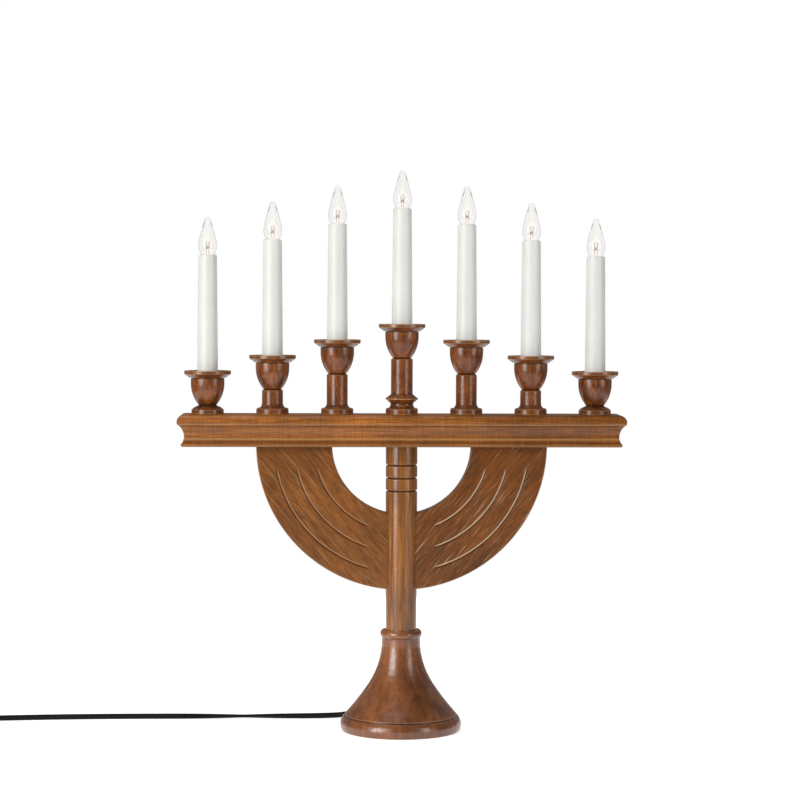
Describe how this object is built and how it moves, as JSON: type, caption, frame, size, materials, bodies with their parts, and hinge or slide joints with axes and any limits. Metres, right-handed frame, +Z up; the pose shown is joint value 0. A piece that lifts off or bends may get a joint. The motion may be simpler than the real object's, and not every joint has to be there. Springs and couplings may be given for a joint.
{
  "type": "electric candle arch",
  "caption": "Stained wooden candelabrum: a turned foot and post carry a moulded beam on two quarter-ring wings, with white candle sleeves and screw-in flame lamps stepped up to the middle.",
  "frame": {"origin": "middle of the foot's sole, on the surface it stands on", "axes": "+Z up the post, +X along the beam to the viewer's right, -Y to the front with the carved arcs"},
  "size_m": [0.6534, 0.1622, 0.5006],
  "materials": {
    "stained_wood": "mid-brown stain under a satin lacquer, straight grain",
    "cup_wood": "the same stain, turned, a shade redder and darker",
    "dowel_wood": "plain unstained dowel",
    "felt": "dark felt",
    "sleeve_plastic": "white moulded plastic, soft gloss",
    "holder_plastic": "white moulded plastic",
    "shell_brass": "bright pressed brass",
    "contact_brass": "bright brass",
    "cap_brass": "bright pressed brass",
    "lamp_glass": "clear blown glass",
    "lamp_mount": "nickel leads on a glass bead",
    "cord_rubber": "black flexible flat cord",
    "bushing_rubber": "black moulded boot",
    "wire_plastic": "white insulated single wires",
    "tie_plastic": "black plastic-coated tie",
    "plug_plastic": "black moulded plug",
    "pin_brass": "plated brass"
  },
  "bodies": {
    "frame": {"foot": "stained_wood", "post": "stained_wood", "left_wing": "stained_wood", "right_wing": "stained_wood", "beam": "stained_wood", "beam_underboard": "stained_wood", "dowels": "dowel_wood", "felt_pad": "felt", "candle_cup_1": "cup_wood", "candle_sleeve_1": "sleeve_plastic", "candle_cup_2": "cup_wood", "candle_sleeve_2": "sleeve_plastic", "candle_cup_3": "cup_wood", "candle_sleeve_3": "sleeve_plastic", "candle_cup_4": "cup_wood", "candle_sleeve_4": "sleeve_plastic", "candle_cup_5": "cup_wood", "candle_sleeve_5": "sleeve_plastic", "candle_cup_6": "cup_wood", "candle_sleeve_6": "sleeve_plastic", "candle_cup_7": "cup_wood", "candle_sleeve_7": "sleeve_plastic", "lamp_holders": "holder_plastic", "holder_shells": "shell_brass", "inner_cord": "cord_rubber", "lamp_wires": "wire_plastic", "cord_bushing": "bushing_rubber", "cord_run": "cord_rubber", "cord_coil": "cord_rubber", "coil_tie": "tie_plastic", "plug_body": "plug_plastic", "plug_pins": "pin_brass"},
    "contact_1": {"spring_contact_1": "contact_brass"},
    "bulb_1": {"bulb_glass_1": "lamp_glass", "bulb_cap_1": "cap_brass", "bulb_filament_1": "lamp_mount"},
    "contact_2": {"spring_contact_2": "contact_brass"},
    "bulb_2": {"bulb_glass_2": "lamp_glass", "bulb_cap_2": "cap_brass", "bulb_filament_2": "lamp_mount"},
    "contact_3": {"spring_contact_3": "contact_brass"},
    "bulb_3": {"bulb_glass_3": "lamp_glass", "bulb_cap_3": "cap_brass", "bulb_filament_3": "lamp_mount"},
    "contact_4": {"spring_contact_4": "contact_brass"},
    "bulb_4": {"bulb_glass_4": "lamp_glass", "bulb_cap_4": "cap_brass", "bulb_filament_4": "lamp_mount"},
    "contact_5": {"spring_contact_5": "contact_brass"},
    "bulb_5": {"bulb_glass_5": "lamp_glass", "bulb_cap_5": "cap_brass", "bulb_filament_5": "lamp_mount"},
    "contact_6": {"spring_contact_6": "contact_brass"},
    "bulb_6": {"bulb_glass_6": "lamp_glass", "bulb_cap_6": "cap_brass", "bulb_filament_6": "lamp_mount"},
    "contact_7": {"spring_contact_7": "contact_brass"},
    "bulb_7": {"bulb_glass_7": "lamp_glass", "bulb_cap_7": "cap_brass", "bulb_filament_7": "lamp_mount"}
  },
  "joints": [
    {"name": "bulb_1_lift", "type": "slide", "parent": "frame", "child": "contact_1", "axis": [0, 0, 1], "range_m": [0, 0.00181]},
    {"name": "bulb_1_unscrew", "type": "hinge", "parent": "contact_1", "child": "bulb_1", "pos_m": [-0.1731, 0, 0.45], "axis": [0, 0, 1], "range_deg": [0, 360]},
    {"name": "bulb_2_lift", "type": "slide", "parent": "frame", "child": "contact_2", "axis": [0, 0, 1], "range_m": [0, 0.00181]},
    {"name": "bulb_2_unscrew", "type": "hinge", "parent": "contact_2", "child": "bulb_2", "pos_m": [-0.1154, 0, 0.45], "axis": [0, 0, 1], "range_deg": [0, 360]},
    {"name": "bulb_3_lift", "type": "slide", "parent": "frame", "child": "contact_3", "axis": [0, 0, 1], "range_m": [0, 0.00181]},
    {"name": "bulb_3_unscrew", "type": "hinge", "parent": "contact_3", "child": "bulb_3", "pos_m": [-0.0577, 0, 0.45], "axis": [0, 0, 1], "range_deg": [0, 360]},
    {"name": "bulb_4_lift", "type": "slide", "parent": "frame", "child": "contact_4", "axis": [0, 0, 1], "range_m": [0, 0.00181]},
    {"name": "bulb_4_unscrew", "type": "hinge", "parent": "contact_4", "child": "bulb_4", "pos_m": [0, 0, 0.45], "axis": [0, 0, 1], "range_deg": [0, 360]},
    {"name": "bulb_5_lift", "type": "slide", "parent": "frame", "child": "contact_5", "axis": [0, 0, 1], "range_m": [0, 0.00181]},
    {"name": "bulb_5_unscrew", "type": "hinge", "parent": "contact_5", "child": "bulb_5", "pos_m": [0.0577, 0, 0.45], "axis": [0, 0, 1], "range_deg": [0, 360]},
    {"name": "bulb_6_lift", "type": "slide", "parent": "frame", "child": "contact_6", "axis": [0, 0, 1], "range_m": [0, 0.00181]},
    {"name": "bulb_6_unscrew", "type": "hinge", "parent": "contact_6", "child": "bulb_6", "pos_m": [0.1154, 0, 0.45], "axis": [0, 0, 1], "range_deg": [0, 360]},
    {"name": "bulb_7_lift", "type": "slide", "parent": "frame", "child": "contact_7", "axis": [0, 0, 1], "range_m": [0, 0.00181]},
    {"name": "bulb_7_unscrew", "type": "hinge", "parent": "contact_7", "child": "bulb_7", "pos_m": [0.1731, 0, 0.45], "axis": [0, 0, 1], "range_deg": [0, 360]}
  ],
  "couplings": [
    {"joint": "bulb_1_lift", "follows": "bulb_1_unscrew", "m_per_rad": 0.00028871},
    {"joint": "bulb_2_lift", "follows": "bulb_2_unscrew", "m_per_rad": 0.00028871},
    {"joint": "bulb_3_lift", "follows": "bulb_3_unscrew", "m_per_rad": 0.00028871},
    {"joint": "bulb_4_lift", "follows": "bulb_4_unscrew", "m_per_rad": 0.00028871},
    {"joint": "bulb_5_lift", "follows": "bulb_5_unscrew", "m_per_rad": 0.00028871},
    {"joint": "bulb_6_lift", "follows": "bulb_6_unscrew", "m_per_rad": 0.00028871},
    {"joint": "bulb_7_lift", "follows": "bulb_7_unscrew", "m_per_rad": 0.00028871}
  ]
}
